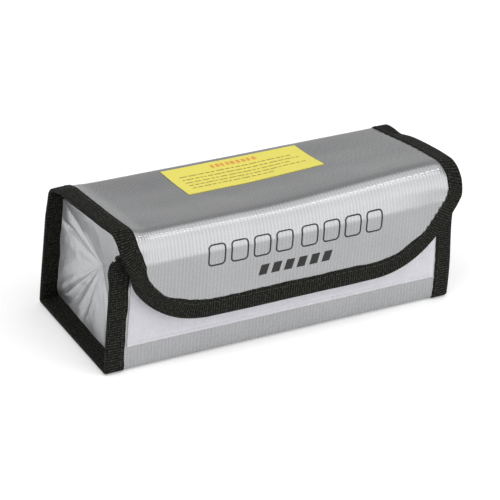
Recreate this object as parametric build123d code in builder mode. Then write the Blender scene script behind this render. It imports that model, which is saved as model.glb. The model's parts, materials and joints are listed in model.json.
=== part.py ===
from build123d import *
import os
from math import atan2, cos, degrees, hypot, sin, tan

# Battery safe bag: a cloth tube with two pushed-in end gussets, a lid that is the back panel
# carried on over the top, and a front flap that closes with hook and loop.
# X runs along the bag, Y from front to back, Z up. All sizes are in mm.
# "Depth" is always measured inwards from the outermost surface of a panel.

# Overall sizes
LENGTH = 185.0
OVERALL_DEPTH = 76.4
FRONT_DEPTH = 71.2
FRONT_HEIGHT = 59.0
BACK_HEIGHT = 60.5
LID_RISE = 6.5
LID_SPAN = 60.0
BACK_LEAN = 5.0
BOTTOM_RADIUS = 5.0

# Cloth, in layers
PANEL = 1.7
LINING = 0.8
GUSSET = 0.8
TAPE = 0.7
TAPE_WIDTH = 10.0
STRIP = 1.0
LABEL = 0.3
THREAD = 0.3

# Flap outline and fold
FLAP_BOTTOM = 21.0
FLAP_BOTTOM_HALF = 72.0
FLAP_SHOULDER = 60.0
FLAP_CORNER_RADIUS = 42.0
FLAP_SHOULDER_RADIUS = 30.0
FOLD_CREASE = 54.0
FOLD_RADIUS = 8.0
FOLD_FORWARD = 7.0
OUTLINE_TOP = 110.0

# Clearances that stand for the bend of the cloth at its two folds
HINGE_CLEARANCE = 2.3
BACK_TOP_DROP = 3.9
FLAP_CLEARANCE = 0.2
EDGE_GAP = 0.3

# Gussets
GUSSET_PUSH = 7.0
GUSSET_RIM = 4.0
GUSSET_TOP_GAP = 5.0
GUSSET_POINT = (5.0, 30.0)
GUSSET_POINT_SIZE = 7.0
HEM_WIDTH = 5.0

# Hook-and-loop, label and stitches
LOOP_BOTTOM = 12.0
LOOP_WIDTH = 38.0
LOOP_LENGTH = 164.4
HOOK_BOTTOM = 32.5
HOOK_WIDTH = 20.0
HOOK_LENGTH = 104.0
LABEL_SIZE = (72.0, 28.5)
LABEL_FROM_HINGE = 5.0
STITCH = 3.4
STITCH_PITCH = 5.2
STITCH_WIDTH = 0.6
STITCH_INSET = 1.6

# Worked-out places
half_length = LENGTH / 2
tape_edge = half_length - TAPE_WIDTH
cloth_end = half_length - TAPE
flap_y = -OVERALL_DEPTH / 2
back_y = OVERALL_DEPTH / 2
front_y = back_y - FRONT_DEPTH
lean = atan2(BACK_LEAN, BACK_HEIGHT)
hinge_y = back_y - BACK_LEAN
hinge_z = BACK_HEIGHT
lid_length = hypot(LID_SPAN, LID_RISE)
lid_tilt = atan2(LID_RISE, LID_SPAN)
lining_depth = PANEL
allowance_depth = PANEL + LINING
binding_depth = PANEL + LINING + GUSSET
lid_inner_depth = PANEL + LINING
outer_top = BACK_HEIGHT - EDGE_GAP
inner_top = BACK_HEIGHT - BACK_TOP_DROP
mouth_tape_bottom = LOOP_BOTTOM + LOOP_WIDTH + EDGE_GAP

os.makedirs("parts", exist_ok=True)


def back_at(depth, z):
    """Y of the leaning back panel at a height, below its outer surface by a depth."""
    return back_y - z * tan(lean) - depth / cos(lean)


def lid_point(along, depth):
    """A point of the lid's section: a distance along it from the hinge, and a depth below it."""
    y = hinge_y - along * cos(lid_tilt) - depth * sin(lid_tilt)
    z = hinge_z + along * sin(lid_tilt) - depth * cos(lid_tilt)
    return (y, z)


def wrap_points(depth, front_top, back_top):
    """Front, bottom and back of the tube's section, at a depth."""
    return [
        (front_y + depth, front_top),
        (front_y + depth, depth),
        (back_at(depth, depth), depth),
        (back_at(depth, back_top), back_top),
    ]


def wrap_layer(x_from, x_to, outer, inner, front_top, back_top):
    """Front, bottom and back as one bent layer between two depths."""
    with BuildSketch(Plane.YZ.offset(x_from)) as section:
        with BuildLine():
            outside = FilletPolyline(
                *wrap_points(outer, front_top, back_top), radius=BOTTOM_RADIUS - outer
            )
            inside = FilletPolyline(
                *wrap_points(inner, front_top, back_top), radius=BOTTOM_RADIUS - inner
            )
            Line(outside @ 0, inside @ 0)
            Line(outside @ 1, inside @ 1)
        make_face()
    extrude(section.sketch, amount=x_to - x_from)


def lid_layer(x_from, x_to, outer, inner, start=HINGE_CLEARANCE, end=lid_length - FLAP_CLEARANCE):
    """A flat layer of the lid between two depths and two distances from the hinge."""
    with BuildSketch(Plane.YZ.offset(x_from)) as section:
        with BuildLine():
            Polyline(
                lid_point(start, outer),
                lid_point(end, outer),
                lid_point(end, inner),
                lid_point(start, inner),
                close=True,
            )
        make_face()
    extrude(section.sketch, amount=x_to - x_from)


def flap_path(depth):
    """The flap's section at a depth: on from the lid, round the fold and down the front."""
    start_y, start_z = lid_point(lid_length + FLAP_CLEARANCE, depth)
    brow_y, brow_z = lid_point(lid_length + FOLD_FORWARD, depth)
    return [
        (start_y, start_z),
        (brow_y, brow_z),
        (flap_y + depth, FOLD_CREASE),
        (flap_y + depth, FLAP_BOTTOM - TAPE_WIDTH),
    ]


def flap_outline(inset):
    """The flap seen from the front, with its edge moved inwards by an inset."""
    side = half_length
    with BuildSketch(Plane.XZ.offset(-flap_y - FRONT_DEPTH)) as outline:
        with BuildLine():
            edge = FilletPolyline(
                (-side, OUTLINE_TOP),
                (-side, FLAP_SHOULDER),
                (-FLAP_BOTTOM_HALF, FLAP_BOTTOM),
                (FLAP_BOTTOM_HALF, FLAP_BOTTOM),
                (side, FLAP_SHOULDER),
                (side, OUTLINE_TOP),
                radius=[
                    FLAP_SHOULDER_RADIUS,
                    FLAP_CORNER_RADIUS,
                    FLAP_CORNER_RADIUS,
                    FLAP_SHOULDER_RADIUS,
                ],
            )
            Line(edge @ 1, edge @ 0)
        make_face()
        if inset:
            offset(amount=-inset)
    return outline.sketch


def flap_layer(outer, inner, inset, hole_inset=None):
    """A layer of the flap between two depths, cut to the flap's outline, with an optional hole."""
    with BuildSketch(Plane.YZ.offset(-half_length)) as section:
        with BuildLine():
            outside = FilletPolyline(*flap_path(outer), radius=FOLD_RADIUS - outer)
            inside = FilletPolyline(*flap_path(inner), radius=FOLD_RADIUS - inner)
            Line(outside @ 0, inside @ 0)
            Line(outside @ 1, inside @ 1)
        make_face()
    with BuildPart(mode=Mode.PRIVATE) as layer:
        extrude(section.sketch, amount=LENGTH)
        extrude(flap_outline(inset), amount=FRONT_DEPTH, mode=Mode.INTERSECT)
        if hole_inset is not None:
            extrude(flap_outline(hole_inset), amount=FRONT_DEPTH, mode=Mode.SUBTRACT)
    add(layer.part)


def stitch_count(run):
    """How many stitches fit in a run."""
    return int((run - STITCH) // STITCH_PITCH) + 1


def stitch_row(plane, run, upright=False):
    """A straight row of stitches, centred on a plane's origin and lying on that plane."""
    count = stitch_count(run)
    size = (STITCH_WIDTH, STITCH) if upright else (STITCH, STITCH_WIDTH)
    grid = (1, STITCH_PITCH, 1, count) if upright else (STITCH_PITCH, 1, count, 1)
    with BuildSketch(plane) as row:
        with GridLocations(*grid):
            Rectangle(*size)
    extrude(row.sketch, amount=THREAD)


def finish(piece, name):
    """Label a finished piece and write it."""
    piece.part.label = name
    export_step(piece.part, f"parts/{name}.step")


# ---------------------------------------------------------------- tube: wrap and lining

with BuildPart() as outer_wrap:
    wrap_layer(-tape_edge, tape_edge, 0, PANEL, FRONT_HEIGHT, outer_top)
    wrap_layer(-cloth_end, -tape_edge, TAPE, PANEL, FRONT_HEIGHT, outer_top)
    wrap_layer(tape_edge, cloth_end, TAPE, PANEL, FRONT_HEIGHT, outer_top)
    # the mouth edge is pressed thinner where its tape is sewn on
    with BuildSketch(Plane.YZ.offset(-cloth_end)) as mouth_relief:
        with BuildLine():
            Polyline(
                (front_y, mouth_tape_bottom),
                (front_y + TAPE, mouth_tape_bottom),
                (front_y + TAPE, FRONT_HEIGHT - TAPE),
                (front_y + PANEL, FRONT_HEIGHT - TAPE),
                (front_y + PANEL, FRONT_HEIGHT),
                (front_y, FRONT_HEIGHT),
                close=True,
            )
        make_face()
    extrude(mouth_relief.sketch, amount=2 * cloth_end, mode=Mode.SUBTRACT)
finish(outer_wrap, "outer_wrap")

with BuildPart() as inner_lining:
    wrap_layer(
        -cloth_end, cloth_end, lining_depth, allowance_depth, FRONT_HEIGHT - TAPE, inner_top
    )
finish(inner_lining, "inner_lining")

# ---------------------------------------------------------------- end gussets

top_middle = (hinge_y - LID_SPAN, lid_point(lid_length, 0)[1] - GUSSET_TOP_GAP)
gusset_rim = [
    (front_y + binding_depth, FRONT_HEIGHT - TAPE),
    (front_y + binding_depth, binding_depth),
    (back_at(binding_depth, binding_depth), binding_depth),
    (back_at(binding_depth, inner_top), inner_top),
    top_middle,
]


def pulled_in(points, amount):
    """Each point moved towards the gusset's pushed-in point by an amount."""
    moved = []
    for y, z in points:
        share = amount / hypot(y - GUSSET_POINT[0], z - GUSSET_POINT[1])
        moved.append((y + (GUSSET_POINT[0] - y) * share, z + (GUSSET_POINT[1] - z) * share))
    return moved


def gathered(points, radius):
    """Each point brought to one distance from the gusset's pushed-in point."""
    moved = []
    for y, z in points:
        share = radius / hypot(y - GUSSET_POINT[0], z - GUSSET_POINT[1])
        new_y = GUSSET_POINT[0] + (y - GUSSET_POINT[0]) * share
        moved.append((new_y, GUSSET_POINT[1] + (z - GUSSET_POINT[1]) * share))
    return moved


def section_at(x, points):
    """A closed outline across the bag at x."""
    with BuildSketch(Plane.YZ.offset(x)) as outline:
        with BuildLine():
            Polyline(*points, close=True)
        make_face()
    return outline.sketch


def gusset_pan(x_outside, thickness):
    """A sheet with a flat rim, pushed in to a small flat round the gusset's point."""
    slope_top = pulled_in(gusset_rim, GUSSET_RIM)
    slope_foot = gathered(gusset_rim, GUSSET_POINT_SIZE)
    x_inside = x_outside + thickness
    with BuildPart(mode=Mode.PRIVATE) as pan:
        extrude(section_at(x_outside, gusset_rim), amount=thickness)
        extrude(section_at(x_outside + GUSSET_PUSH, slope_foot), amount=thickness)
        loft(
            [section_at(x_inside, slope_top), section_at(x_inside + GUSSET_PUSH, slope_foot)],
            ruled=True,
        )
        loft(
            [section_at(x_outside, slope_top), section_at(x_outside + GUSSET_PUSH, slope_foot)],
            ruled=True,
            mode=Mode.SUBTRACT,
        )
    return pan.part


def mirrored(piece):
    """The same piece at the other end of the bag."""
    with BuildPart() as other:
        add(piece.part)
        mirror(about=Plane.YZ, mode=Mode.REPLACE)
    return other


with BuildPart() as left_gusset:
    wrap_layer(
        -cloth_end,
        -tape_edge + GUSSET,
        allowance_depth,
        binding_depth,
        FRONT_HEIGHT - TAPE,
        inner_top,
    )
    add(gusset_pan(-tape_edge, GUSSET))
finish(left_gusset, "left_gusset")
right_gusset = mirrored(left_gusset)
finish(right_gusset, "right_gusset")

with BuildPart() as left_gusset_lining:
    add(gusset_pan(-tape_edge + GUSSET, LINING))
finish(left_gusset_lining, "left_gusset_lining")
right_gusset_lining = mirrored(left_gusset_lining)
finish(right_gusset_lining, "right_gusset_lining")

with BuildPart() as left_gusset_hem:
    hem_depth = binding_depth + TAPE + EDGE_GAP
    hem_top = [
        (front_y + hem_depth, FRONT_HEIGHT - TAPE),
        top_middle,
        (back_at(hem_depth, inner_top), inner_top),
    ]
    hem_foot = [(y, z - HEM_WIDTH) for y, z in reversed(hem_top)]
    extrude(section_at(-tape_edge - GUSSET, hem_top + hem_foot), amount=GUSSET)
finish(left_gusset_hem, "left_gusset_hem")
right_gusset_hem = mirrored(left_gusset_hem)
finish(right_gusset_hem, "right_gusset_hem")

# ---------------------------------------------------------------- tube: edge tapes

with BuildPart() as left_end_binding:
    inner_leg = binding_depth + TAPE
    wrap_layer(-half_length, -tape_edge, 0, TAPE, FRONT_HEIGHT, inner_top)
    wrap_layer(-half_length, -cloth_end, 0, inner_leg, FRONT_HEIGHT, inner_top)
    wrap_layer(-half_length, -tape_edge, binding_depth, inner_leg, FRONT_HEIGHT, inner_top)
finish(left_end_binding, "left_end_binding")
right_end_binding = mirrored(left_end_binding)
finish(right_end_binding, "right_end_binding")

with BuildPart() as mouth_binding:
    mouth_depth = lid_inner_depth + TAPE
    with BuildSketch(Plane.YZ.offset(-tape_edge + GUSSET)) as mouth_section:
        with BuildLine():
            Polyline(
                (front_y, mouth_tape_bottom),
                (front_y, FRONT_HEIGHT),
                (front_y + mouth_depth, FRONT_HEIGHT),
                (front_y + mouth_depth, mouth_tape_bottom),
                (front_y + lid_inner_depth, mouth_tape_bottom),
                (front_y + lid_inner_depth, FRONT_HEIGHT - TAPE),
                (front_y + TAPE, FRONT_HEIGHT - TAPE),
                (front_y + TAPE, mouth_tape_bottom),
                close=True,
            )
        make_face()
    extrude(mouth_section.sketch, amount=2 * (tape_edge - GUSSET))
finish(mouth_binding, "mouth_binding")

# ---------------------------------------------------------------- lid

with BuildPart() as lid_panel:
    lid_layer(-tape_edge, tape_edge, 0, PANEL)
    lid_layer(-cloth_end, -tape_edge, TAPE, PANEL)
    lid_layer(tape_edge, cloth_end, TAPE, PANEL)
finish(lid_panel, "lid_panel")

with BuildPart() as lid_lining:
    lid_layer(-cloth_end, cloth_end, PANEL, lid_inner_depth)
finish(lid_lining, "lid_lining")

with BuildPart() as left_lid_binding:
    lid_layer(-half_length, -tape_edge, 0, TAPE)
    lid_layer(-half_length, -cloth_end, 0, lid_inner_depth + TAPE)
    lid_layer(-half_length, -tape_edge, lid_inner_depth, lid_inner_depth + TAPE)
finish(left_lid_binding, "left_lid_binding")
right_lid_binding = mirrored(left_lid_binding)
finish(right_lid_binding, "right_lid_binding")


def on_lid(x, along):
    """A plane lying on the lid, with its own X along the bag and its own Y towards the hinge."""
    y, z = lid_point(along, 0)
    return Plane(origin=(x, y, z), x_dir=(1, 0, 0), z_dir=(0, sin(lid_tilt), cos(lid_tilt)))


with BuildPart() as lid_label:
    with BuildSketch(on_lid(0, LABEL_FROM_HINGE + LABEL_SIZE[1] / 2)) as label_face:
        Rectangle(*LABEL_SIZE)
    extrude(label_face.sketch, amount=LABEL)
finish(lid_label, "lid_label")

# ---------------------------------------------------------------- flap

with BuildPart() as flap_panel:
    flap_layer(0, PANEL, TAPE_WIDTH)
    flap_layer(TAPE, PANEL, TAPE, TAPE_WIDTH)
finish(flap_panel, "flap_panel")

with BuildPart() as flap_lining:
    flap_layer(PANEL, lid_inner_depth, TAPE)
finish(flap_lining, "flap_lining")

with BuildPart() as flap_binding:
    flap_layer(0, TAPE, 0, TAPE_WIDTH)
    flap_layer(TAPE, lid_inner_depth, 0, TAPE)
    flap_layer(lid_inner_depth, lid_inner_depth + TAPE, 0, TAPE_WIDTH)
finish(flap_binding, "flap_binding")

# ---------------------------------------------------------------- hook and loop

front_face = Plane(origin=(0, front_y, 0), x_dir=(1, 0, 0), z_dir=(0, -1, 0))
hook_face = Plane(origin=(0, flap_y + lid_inner_depth, 0), x_dir=(1, 0, 0), z_dir=(0, 1, 0))


def strip(face, length, bottom, width):
    """A flat strip of tape lying on a face, above its own bottom line."""
    with BuildSketch(face) as outline:
        with Locations(face.to_local_coords(Vector(0, face.origin.Y, bottom + width / 2))):
            Rectangle(length, width)
    extrude(outline.sketch, amount=STRIP)


with BuildPart() as loop_strip:
    strip(front_face, LOOP_LENGTH, LOOP_BOTTOM, LOOP_WIDTH)
finish(loop_strip, "loop_strip")

with BuildPart() as hook_strip:
    strip(hook_face, HOOK_LENGTH, HOOK_BOTTOM, HOOK_WIDTH)
finish(hook_strip, "hook_strip")

# ---------------------------------------------------------------- stitching

tape_row = tape_edge + STITCH_INSET


def facing_front(y, z, x=0):
    """An upright plane that faces the front."""
    return Plane(origin=(x, y, z), x_dir=(1, 0, 0), z_dir=(0, -1, 0))


def facing_back(y, z, x=0):
    """An upright plane that faces the back."""
    return Plane(origin=(x, y, z), x_dir=(1, 0, 0), z_dir=(0, 1, 0))


with BuildPart() as loop_strip_stitching:
    for row_z in (LOOP_BOTTOM + STITCH_INSET, LOOP_BOTTOM + LOOP_WIDTH - STITCH_INSET):
        stitch_row(facing_front(front_y - STRIP, row_z), LOOP_LENGTH - 2 * STITCH_INSET)
finish(loop_strip_stitching, "loop_strip_stitching")

with BuildPart() as hook_strip_stitching:
    for row_z in (HOOK_BOTTOM + STITCH_INSET, HOOK_BOTTOM + HOOK_WIDTH - STITCH_INSET):
        stitch_row(
            facing_back(flap_y + lid_inner_depth + STRIP, row_z), HOOK_LENGTH - 2 * STITCH_INSET
        )
finish(hook_strip_stitching, "hook_strip_stitching")

with BuildPart() as left_end_stitching:
    clear = binding_depth + TAPE + STITCH_INSET
    middle_z = (clear + inner_top) / 2
    stitch_row(facing_front(front_y, middle_z, -tape_row), inner_top - clear, upright=True)
    back_face = Plane(
        origin=(-tape_row, back_at(0, middle_z), middle_z),
        x_dir=(1, 0, 0),
        z_dir=(0, cos(lean), sin(lean)),
    )
    stitch_row(back_face, inner_top - clear, upright=True)
    floor_face = Plane(
        origin=(-tape_row, (front_y + back_y) / 2, binding_depth + TAPE),
        x_dir=(1, 0, 0),
        z_dir=(0, 0, 1),
    )
    stitch_row(floor_face, FRONT_DEPTH - 2 * clear, upright=True)
finish(left_end_stitching, "left_end_stitching")
right_end_stitching = mirrored(left_end_stitching)
finish(right_end_stitching, "right_end_stitching")

with BuildPart() as lid_binding_stitching:
    for row_x in (-tape_row, tape_row):
        stitch_row(on_lid(row_x, lid_length / 2), lid_length - 4 * STITCH_INSET, upright=True)
finish(lid_binding_stitching, "lid_binding_stitching")

with BuildPart() as fold_stitching:
    stitch_row(on_lid(0, lid_length - 2 * STITCH_INSET), LENGTH - 2 * TAPE_WIDTH)
finish(fold_stitching, "fold_stitching")

with BuildPart() as flap_binding_stitching:
    row_inset = TAPE_WIDTH - STITCH_INSET
    side_turn = atan2(FLAP_SHOULDER - FLAP_BOTTOM, half_length - FLAP_BOTTOM_HALF)
    corner_x = FLAP_BOTTOM_HALF - FLAP_CORNER_RADIUS * tan(side_turn / 2)
    row_radius = FLAP_CORNER_RADIUS - row_inset
    corner_count = int(row_radius * side_turn / STITCH_PITCH)
    arc = degrees(side_turn)
    stitch_row(facing_front(flap_y, FLAP_BOTTOM + row_inset), 2 * corner_x)
    with BuildSketch(facing_front(flap_y, FLAP_BOTTOM + FLAP_CORNER_RADIUS)) as corner_rows:
        for side, first in ((1, -90), (-1, -90 - arc)):
            with Locations((side * corner_x, 0)):
                with PolarLocations(row_radius, corner_count, first, arc):
                    Rectangle(STITCH_WIDTH, STITCH)
    extrude(corner_rows.sketch, amount=THREAD)
finish(flap_binding_stitching, "flap_binding_stitching")
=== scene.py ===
import json
import math
import bpy
import numpy as np
from mathutils import Matrix, Vector, noise


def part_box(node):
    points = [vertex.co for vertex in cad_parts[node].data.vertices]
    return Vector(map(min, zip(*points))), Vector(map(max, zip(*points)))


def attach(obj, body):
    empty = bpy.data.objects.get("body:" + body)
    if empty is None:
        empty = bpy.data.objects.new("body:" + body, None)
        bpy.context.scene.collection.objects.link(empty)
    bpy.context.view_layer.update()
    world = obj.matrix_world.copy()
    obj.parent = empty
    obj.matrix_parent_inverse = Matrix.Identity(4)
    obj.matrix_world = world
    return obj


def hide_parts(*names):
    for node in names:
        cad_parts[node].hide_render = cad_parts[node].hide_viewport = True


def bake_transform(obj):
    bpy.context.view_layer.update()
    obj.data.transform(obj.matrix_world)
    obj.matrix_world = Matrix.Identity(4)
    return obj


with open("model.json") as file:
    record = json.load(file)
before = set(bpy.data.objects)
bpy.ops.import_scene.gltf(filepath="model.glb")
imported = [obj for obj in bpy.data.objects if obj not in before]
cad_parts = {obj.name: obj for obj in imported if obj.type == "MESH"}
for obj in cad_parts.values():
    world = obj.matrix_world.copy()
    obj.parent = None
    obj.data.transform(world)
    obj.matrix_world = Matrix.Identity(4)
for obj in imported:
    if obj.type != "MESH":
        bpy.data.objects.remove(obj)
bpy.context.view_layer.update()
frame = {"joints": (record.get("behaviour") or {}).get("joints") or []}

MM = 0.001

# -------- sizes, from the frame

joint_at = {j["name"]: j["pos_m"] for j in frame["joints"]}
HINGE_Y, HINGE_Z = joint_at["lid_hinge"][1:]
BROW_Y, BROW_Z = joint_at["flap_hinge"][1:]
end_tape_low, end_tape_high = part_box("left_end_binding")
wrap_low, wrap_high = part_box("outer_wrap")
flap_tape_low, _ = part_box("flap_binding")
flap_cloth_low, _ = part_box("flap_panel")
mouth_low, mouth_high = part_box("mouth_binding")
loop_low, loop_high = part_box("loop_strip")
hook_low, hook_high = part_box("hook_strip")
label_low, label_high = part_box("lid_label")

HALF = -end_tape_low.x
TAPE_WIDTH = end_tape_high.x - end_tape_low.x
FRONT_Y, BACK_Y = wrap_low.y, wrap_high.y
FRONT_TOP = mouth_high.z
FLAP_Y, FLAP_BOTTOM = flap_cloth_low.y, flap_tape_low.z
TAPE_PROUD = 0.5 * MM
TAPE_THICK = 0.45 * MM
CLOTH = 0.5 * MM
LINING = 0.35 * MM
GUSSET = 0.35 * MM
BINDING = 9.2 * MM
INNER_LEG = 8.7 * MM
GUSSET_X = HALF - INNER_LEG
SETTLE = 1.3 * MM
FLANGE_LID = CLOTH + LINING
FLANGE_BAG = FLANGE_LID + GUSSET
CREASE_Z = 54 * MM
BROW_FORWARD = 6.7 * MM
FLAP_HALF_BOTTOM = 68.5 * MM
FLAP_SHOULDER = 39.3 * MM
FLAP_RADII = (30 * MM, 47 * MM, 45 * MM, 30 * MM)
BACK_SPLIT = 30 * MM
LID_SPLIT_Y = 3 * MM
SEED = Vector((3.1, 7.7, 1.9))


# -------- the bag's section

BROW_FACE_Z = BROW_Z - 0.9 * MM
lid_way = np.array([BROW_Y - HINGE_Y, BROW_FACE_Z - HINGE_Z])
lid_way /= np.linalg.norm(lid_way)
brow_corner = np.array([BROW_Y, BROW_FACE_Z]) + lid_way * BROW_FORWARD
CORNERS = np.array([
    (FRONT_Y, FRONT_TOP),
    (FRONT_Y, 0),
    (BACK_Y, 0),
    (HINGE_Y, HINGE_Z),
    brow_corner,
    (FLAP_Y, CREASE_Z),
    (FLAP_Y, FLAP_BOTTOM),
])
RADII = np.array([0, 1.8, 1.8, 2.6, 8.5, 3, 0]) * MM
MIN_RADIUS = 0.4 * MM

steps = np.diff(CORNERS, axis=0)
lengths = np.linalg.norm(steps, axis=1)
ways = steps / lengths[:, None]
headings = np.unwrap(np.arctan2(ways[:, 1], ways[:, 0]))
turns = np.zeros(len(CORNERS))
turns[1:-1] = np.diff(headings)

reach = RADII * np.tan(turns / 2)
straight = lengths - reach[:-1] - reach[1:]
knots = [0.0]
for i in range(len(lengths)):
    if i:
        knots.append(knots[-1] + RADII[i] * turns[i])
    knots.append(knots[-1] + straight[i])
knots = np.array(knots)
S_END = knots[-1]
S_FRONT_LOW, S_FLOOR, S_FLOOR_END, S_BACK, S_BACK_TOP, S_LID = knots[1:7]
S_HINGE = (S_BACK_TOP + S_LID) / 2
S_BROW = S_HINGE + math.dist((HINGE_Y, HINGE_Z), (BROW_Y, BROW_Z)) - 2 * reach[3] + RADII[3] * turns[3]
S_BACK_SPLIT = S_BACK_TOP - (HINGE_Z - reach[3] - BACK_SPLIT)
S_LID_SPLIT = S_LID + (HINGE_Y - reach[3] - LID_SPLIT_Y)
S_CREASE = (knots[9] + knots[10]) / 2


def shaped_corners(x):
    """The section's corners at x. The right end's brow stands higher, and its crease further back."""
    corners = np.tile(CORNERS, x.shape + (1, 1))
    rise = smooth(x, -0.2 * HALF, 0.85 * HALF)
    corners[..., 4, 0] += 0.8 * MM * rise
    corners[..., 4, 1] += 3.8 * MM * rise
    corners[..., 3, 1] += 0.4 * MM * rise + 0.5 * MM * smooth(-x, 0.7 * HALF, HALF)
    corners[..., 5, 0] += 1.6 * MM * smooth(x, 0.45 * HALF, HALF)
    return corners


def tube(x, s, h):
    """Y and Z of the section at x and arc length s, raised by h along the outward normal."""
    piece = np.clip(np.searchsorted(knots, s, side="right") - 1, 0, len(knots) - 2)
    share = ((s - knots[piece]) / (knots[piece + 1] - knots[piece]))[..., None]
    corners = shaped_corners(x)
    way = np.diff(corners, axis=-2)
    way /= np.linalg.norm(way, axis=-1)[..., None]
    normal = np.stack([way[..., 1], -way[..., 0]], axis=-1)
    heading = np.unwrap(np.arctan2(way[..., 1], way[..., 0]), axis=-1)
    turn = np.diff(heading, axis=-1)
    point = np.zeros(s.shape + (2,))
    tangent_in, tangent_out, radius = [corners[..., 0, :] + h[..., None] * normal[..., 0, :]], [], []
    softness = {3: hinge_softness(x), 4: brow_softness(x)}
    for i in range(1, len(CORNERS) - 1):
        r = np.maximum(RADII[i] + softness.get(i, 0.0) + h, MIN_RADIUS)
        middle = normal[..., i - 1, :] + normal[..., i, :]
        mitre = middle / (middle * normal[..., i, :]).sum(-1)[..., None]
        tip = corners[..., i, :] + h[..., None] * mitre
        cut = (r * np.tan(turn[..., i - 1] / 2))[..., None]
        tangent_out.append(tip - cut * way[..., i - 1, :])
        tangent_in.append(tip + cut * way[..., i, :])
        radius.append(r)
    tangent_out.append(corners[..., -1, :] + h[..., None] * normal[..., -1, :])
    for i in range(len(CORNERS) - 1):
        here = piece == 2 * i
        run = tangent_in[i] + share * (tangent_out[i] - tangent_in[i])
        point[here] = run[here]
    for i in range(1, len(CORNERS) - 1):
        here = piece == 2 * i - 1
        r = radius[i - 1][..., None]
        centre = tangent_out[i - 1] - r * normal[..., i - 1, :]
        angle = heading[..., i - 1] - math.pi / 2 + share[..., 0] * turn[..., i - 1]
        point[here] = (centre + r * np.stack([np.cos(angle), np.sin(angle)], axis=-1))[here]
    return point


def smooth(value, low, high):
    """0 below low, 1 above high, smooth between."""
    t = np.clip((value - low) / (high - low), 0, 1)
    return t * t * (3 - 2 * t)


def between(value, start, full, fading, gone):
    """0 up to start, 1 from full to fading, 0 again from gone, smooth between."""
    return smooth(value, start, full) * (1 - smooth(value, fading, gone))


def hump(value, centre, width):
    """1 at the centre, falling smoothly to 0 over about twice the width to each side."""
    return np.exp(-(((value - centre) / width) ** 2))


def ripple(x, s, size, seed=0.0):
    """Smooth noise over the sheet, from -1 to 1, with features of about that size."""
    flat = [noise.noise(Vector((a / size, b / size, seed)) + SEED) for a, b in zip(x.ravel(), s.ravel())]
    return np.array(flat).reshape(x.shape)


def slackness(x, s):
    """How far the whole laminate stands off its plane: sags, crowns and small waves."""
    on_floor = between(s, S_FRONT_LOW - 14 * MM, S_FRONT_LOW, S_BACK, S_BACK + 14 * MM)
    free = 1 - on_floor
    ends = 1 - smooth(np.abs(x), 0.55 * HALF, HALF)
    at_fold = hump(s, S_HINGE, 9 * MM) + hump(s, S_BROW, 7 * MM)
    calm = 1 - 0.75 * np.clip(at_fold, 0, 1)
    waves = 0.42 * MM * ripple(x, s, 46 * MM) + 0.16 * MM * ripple(x, s, 17 * MM, 4.0)
    lid = between(s, S_LID, S_LID + 22 * MM, S_BROW - 22 * MM, S_BROW)
    back = between(s, S_BACK, S_BACK + 25 * MM, S_BACK_TOP - 25 * MM, S_BACK_TOP)
    crown = -0.9 * MM * lid * ends + 0.9 * MM * back * ends
    lift = 0.5 * MM * smooth(s, S_END - 16 * MM, S_END) * (0.5 + 0.5 * ripple(x, 0 * s, 30 * MM, 9.0))
    right = smooth(x, 0.86 * HALF, HALF)
    lid_edge = between(s, S_HINGE + 2 * MM, S_HINGE + 14 * MM, S_BROW + 4 * MM, S_CREASE)
    flap_edge_in = between(s, S_BROW + 4 * MM, S_CREASE, S_CREASE + 12 * MM, S_END)
    dip = 1.3 * hump(s, S_HINGE + 10 * MM, 9 * MM)
    droop = -((1.0 + dip) * lid_edge + 0.3 * flap_edge_in) * MM * right
    left = smooth(-x, 0.78 * HALF, 0.95 * HALF)
    behind_brow = 1 - smooth(s, S_BROW, S_CREASE)
    raised = 2.0 * MM * smooth(s, S_HINGE - 4 * MM, S_HINGE + 10 * MM) * behind_brow * left
    return free * (waves * calm + crown) + lift + droop + raised


def hinge_softness(x):
    """The back fold is rounder where the left end's tape goes over it."""
    return 2.4 * MM * smooth(-x, 0.84 * HALF, HALF)


def brow_softness(x):
    """The brow is crisper at the left end and rounder at the right."""
    return (1.7 + 2.0 * np.clip(x / HALF, -1, 1)) * MM


def pinched(x, s):
    """Both ends draw in a little: up the front edges, and where the lid and flap curl over."""
    front = smooth(FRONT_TOP - s, 4 * MM, 46 * MM)
    low = s < (S_FLOOR + S_FLOOR_END) / 2
    lid = smooth(s, S_HINGE - 16 * MM, S_HINGE + 8 * MM)
    brow = smooth(s, S_BROW - 12 * MM, S_BROW + 6 * MM)
    flap = 1 - smooth(s, S_CREASE - 2 * MM, S_CREASE + 13 * MM)
    flare = between(s, S_BROW + 6 * MM, S_CREASE + 5 * MM, S_CREASE + 8 * MM, S_END)
    at_hinge = hump(s, S_HINGE, 8 * MM)
    at_brow = hump(s, S_BROW + 5 * MM, 11 * MM)
    right = 1.3 * low + 2.6 * front - 1.9 * flare + 1.7 * at_hinge + 1.6 * at_brow
    left = (0.8 + 0.6 * front + (1.5 + 1.8 * brow) * lid * flap - 0.8 * brow) * MM
    return x - right * MM * smooth(x, 0.78 * HALF, 0.97 * HALF) + left * smooth(-x, 0.7 * HALF, 0.93 * HALF)


def surf(x, s, h=0.0):
    """The point of the sheet at (x, s), raised by h from the cloth's outer face."""
    x, s, h = np.broadcast_arrays(x, s, h)
    point = tube(x, s, h - TAPE_PROUD + slackness(x, s))
    up = point[..., 1] + SETTLE * smooth(point[..., 1], 0, 22 * MM)
    return np.stack([pinched(x, s), point[..., 0], up], axis=-1)


# -------- mesh helpers

def linked(name, data):
    """A new object in the scene."""
    obj = bpy.data.objects.new(name, data)
    bpy.context.scene.collection.objects.link(obj)
    return obj


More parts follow.
